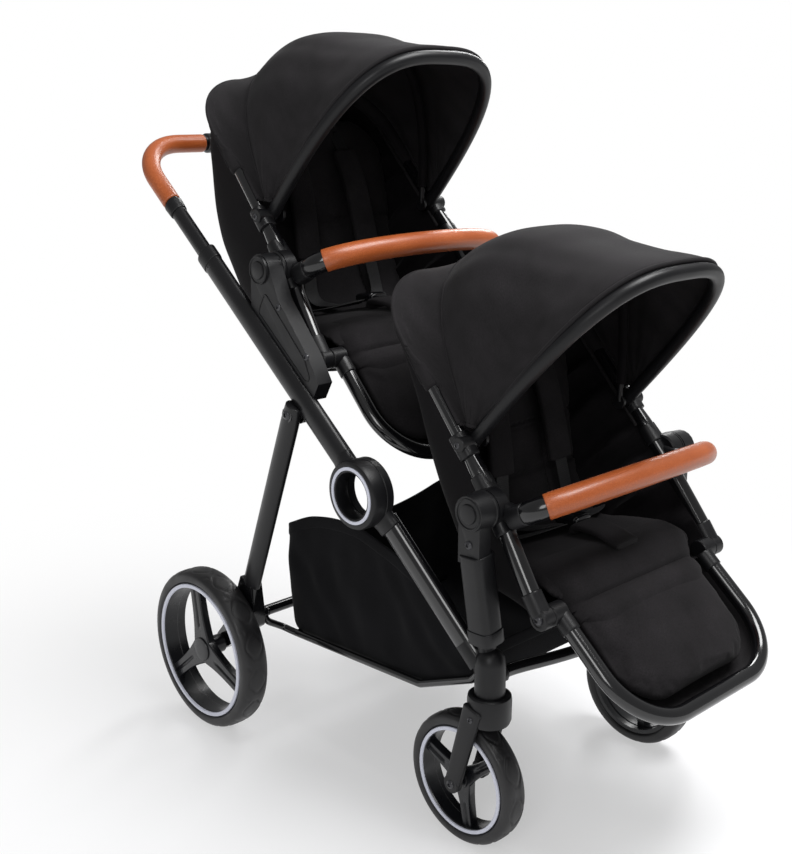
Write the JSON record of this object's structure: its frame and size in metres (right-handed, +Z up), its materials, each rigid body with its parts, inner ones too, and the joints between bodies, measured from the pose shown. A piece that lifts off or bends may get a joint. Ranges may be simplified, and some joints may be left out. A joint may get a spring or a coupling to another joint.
{
  "type": "pram",
  "caption": "Folding pram with two hooded seats, one behind and above the other, a looped push handle, a cloth basket, swivelling front wheels and large rear wheels.",
  "frame": {"origin": "midway along, midway across, on the ground the wheels stand on", "axes": "+X to the pram's left, -Y forwards, +Z up"},
  "size_m": [0.6, 1.0345, 1.1331],
  "materials": {
    "frame_black": "gloss black powder coat on oval aluminium tube",
    "plastic_black": "satin moulded nylon",
    "wheel_black": "satin moulded wheel barrel and spokes",
    "ring_white": "smooth inset decorative ring",
    "tyre_black": "foam rubber tyre with low tread blocks",
    "fabric_charcoal": "plain woven polyester, matt",
    "mesh_black": "soft woven polyester bag cloth",
    "leather_tan": "stitched leatherette wrap, satin"
  },
  "bodies": {
    "lower_frame": {"lower_tube_right": "frame_black", "lower_tube_left": "frame_black", "hub_inner_right": "plastic_black", "hub_inner_left": "plastic_black", "caster_housing_right": "plastic_black", "caster_housing_left": "plastic_black", "seat_post_right": "plastic_black", "seat_post_left": "plastic_black", "front_cross_bar": "frame_black"},
    "upper_frame": {"hub_outer_right": "plastic_black", "hub_outer_left": "plastic_black", "hub_ring_right": "ring_white", "hub_ring_left": "ring_white", "upper_tube_right": "frame_black", "upper_tube_left": "frame_black", "seat_arm_right": "plastic_black", "seat_arm_left": "plastic_black"},
    "handle": {"handle_tube": "frame_black", "handle_grip_right": "leather_tan", "handle_grip_left": "leather_tan"},
    "handle_release": {"handle_button": "plastic_black"},
    "rear_leg_frame": {"rear_leg_right": "frame_black", "rear_leg_left": "frame_black", "rear_axle": "frame_black"},
    "brake": {"brake_pedal": "plastic_black"},
    "basket_carrier": {"basket_frame": "frame_black", "basket": "mesh_black"},
    "caster_right": {"caster_fork_right": "plastic_black"},
    "front_wheel_right": {"front_right_tyre": "tyre_black", "front_right_wheel": "wheel_black", "front_right_ring": "ring_white"},
    "rear_wheel_right": {"rear_right_tyre": "tyre_black", "rear_right_wheel": "wheel_black", "rear_right_ring": "ring_white"},
    "caster_left": {"caster_fork_left": "plastic_black"},
    "front_wheel_left": {"front_left_tyre": "tyre_black", "front_left_wheel": "wheel_black", "front_left_ring": "ring_white"},
    "rear_wheel_left": {"rear_left_tyre": "tyre_black", "rear_left_wheel": "wheel_black", "rear_left_ring": "ring_white"},
    "rear_seat": {"rear_seat_frame": "frame_black", "rear_seat_tub": "fabric_charcoal", "rear_seat_pad": "fabric_charcoal", "rear_seat_hood_fabric": "fabric_charcoal"},
    "rear_seat_calf": {"rear_seat_calf_frame": "frame_black", "rear_seat_calf_pad": "fabric_charcoal"},
    "rear_seat_hood_front": {"rear_seat_hood_front_bow": "frame_black"},
    "rear_seat_hood_mid": {"rear_seat_hood_mid_bow": "frame_black"},
    "rear_seat_bumper": {"rear_seat_bumper_bar": "leather_tan"},
    "front_seat": {"front_seat_frame": "frame_black", "front_seat_tub": "fabric_charcoal", "front_seat_pad": "fabric_charcoal", "front_seat_hood_fabric": "fabric_charcoal"},
    "front_seat_calf": {"front_seat_calf_frame": "frame_black", "front_seat_calf_pad": "fabric_charcoal"},
    "front_seat_hood_front": {"front_seat_hood_front_bow": "frame_black"},
    "front_seat_hood_mid": {"front_seat_hood_mid_bow": "frame_black"},
    "front_seat_bumper": {"front_seat_bumper_bar": "leather_tan"}
  },
  "joints": [
    {"name": "chassis_fold", "type": "hinge", "parent": "lower_frame", "child": "upper_frame", "pos_m": [0, -0.07155, 0.485], "axis": [1, 0, 0], "range_deg": [0, 6]},
    {"name": "rear_leg_fold", "type": "hinge", "parent": "upper_frame", "child": "rear_leg_frame", "pos_m": [0, 0.07845, 0.572], "axis": [1, 0, 0], "range_deg": [-4.4, 0]},
    {"name": "basket_frame_fold", "type": "hinge", "parent": "lower_frame", "child": "basket_carrier", "pos_m": [0, -0.25255, 0.26], "axis": [1, 0, 0], "range_deg": [0, 2.6]},
    {"name": "handle_slide", "type": "slide", "parent": "upper_frame", "child": "handle", "axis": [0, -0.7782, -0.628], "range_m": [0, 0.08]},
    {"name": "handle_button_press", "type": "slide", "parent": "handle", "child": "handle_release", "axis": [0, 0.628, -0.7782], "range_m": [0, 0.0025], "stiffness_N_per_m": 300},
    {"name": "brake_press", "type": "hinge", "parent": "rear_leg_frame", "child": "brake", "pos_m": [0, 0.24545, 0.185], "axis": [-1, 0, 0], "range_deg": [0, 20]},
    {"name": "caster_right_swivel", "type": "hinge", "parent": "lower_frame", "child": "caster_right", "pos_m": [-0.202, -0.28255, 0.26], "axis": [0, 0, 1], "continuous": true},
    {"name": "front_wheel_right_spin", "type": "hinge", "parent": "caster_right", "child": "front_wheel_right", "pos_m": [-0.202, -0.24325, 0.0965], "axis": [1, 0, 0], "continuous": true},
    {"name": "rear_wheel_right_spin", "type": "hinge", "parent": "rear_leg_frame", "child": "rear_wheel_right", "pos_m": [-0.276, 0.28345, 0.135], "axis": [1, 0, 0], "continuous": true},
    {"name": "caster_left_swivel", "type": "hinge", "parent": "lower_frame", "child": "caster_left", "pos_m": [0.202, -0.28255, 0.26], "axis": [0, 0, 1], "continuous": true},
    {"name": "front_wheel_left_spin", "type": "hinge", "parent": "caster_left", "child": "front_wheel_left", "pos_m": [0.202, -0.24325, 0.0965], "axis": [1, 0, 0], "continuous": true},
    {"name": "rear_wheel_left_spin", "type": "hinge", "parent": "rear_leg_frame", "child": "rear_wheel_left", "pos_m": [0.276, 0.28345, 0.135], "axis": [1, 0, 0], "continuous": true},
    {"name": "rear_seat_tilt", "type": "hinge", "parent": "upper_frame", "child": "rear_seat", "pos_m": [0, 0.16345, 0.775], "axis": [1, 0, 0], "range_deg": [0, 12]},
    {"name": "rear_seat_calf_drop", "type": "hinge", "parent": "rear_seat", "child": "rear_seat_calf", "pos_m": [0, 0.07045, 0.647], "axis": [1, 0, 0], "range_deg": [0, 30]},
    {"name": "rear_seat_hood_fold", "type": "hinge", "parent": "rear_seat", "child": "rear_seat_hood_front", "pos_m": [0, 0.22145, 0.848], "axis": [-1, 0, 0], "range_deg": [0, 70], "deforming": ["rear_seat_hood_fabric"]},
    {"name": "rear_seat_hood_mid_fold", "type": "hinge", "parent": "rear_seat", "child": "rear_seat_hood_mid", "pos_m": [0, 0.22145, 0.848], "axis": [-1, 0, 0], "range_deg": [0, 35]},
    {"name": "rear_seat_bumper_lift", "type": "slide", "parent": "rear_seat", "child": "rear_seat_bumper", "axis": [0, -0.8878, 0.4602], "range_m": [0, 0.03]},
    {"name": "front_seat_tilt", "type": "hinge", "parent": "lower_frame", "child": "front_seat", "pos_m": [0, -0.27155, 0.503], "axis": [1, 0, 0], "range_deg": [0, 12]},
    {"name": "front_seat_calf_drop", "type": "hinge", "parent": "front_seat", "child": "front_seat_calf", "pos_m": [0, -0.36455, 0.375], "axis": [1, 0, 0], "range_deg": [-40, 20]},
    {"name": "front_seat_hood_fold", "type": "hinge", "parent": "front_seat", "child": "front_seat_hood_front", "pos_m": [0, -0.21355, 0.576], "axis": [-1, 0, 0], "range_deg": [0, 70], "deforming": ["front_seat_hood_fabric"]},
    {"name": "front_seat_hood_mid_fold", "type": "hinge", "parent": "front_seat", "child": "front_seat_hood_mid", "pos_m": [0, -0.21355, 0.576], "axis": [-1, 0, 0], "range_deg": [0, 35]},
    {"name": "front_seat_bumper_lift", "type": "slide", "parent": "front_seat", "child": "front_seat_bumper", "axis": [0, -0.8878, 0.4602], "range_m": [0, 0.03]}
  ],
  "couplings": [
    {"joint": "rear_leg_fold", "follows": "chassis_fold", "ratio": -0.69578},
    {"joint": "basket_frame_fold", "follows": "chassis_fold", "ratio": 0.40819},
    {"joint": "rear_seat_hood_mid_fold", "follows": "rear_seat_hood_fold", "ratio": 0.5},
    {"joint": "front_seat_hood_mid_fold", "follows": "front_seat_hood_fold", "ratio": 0.5}
  ]
}
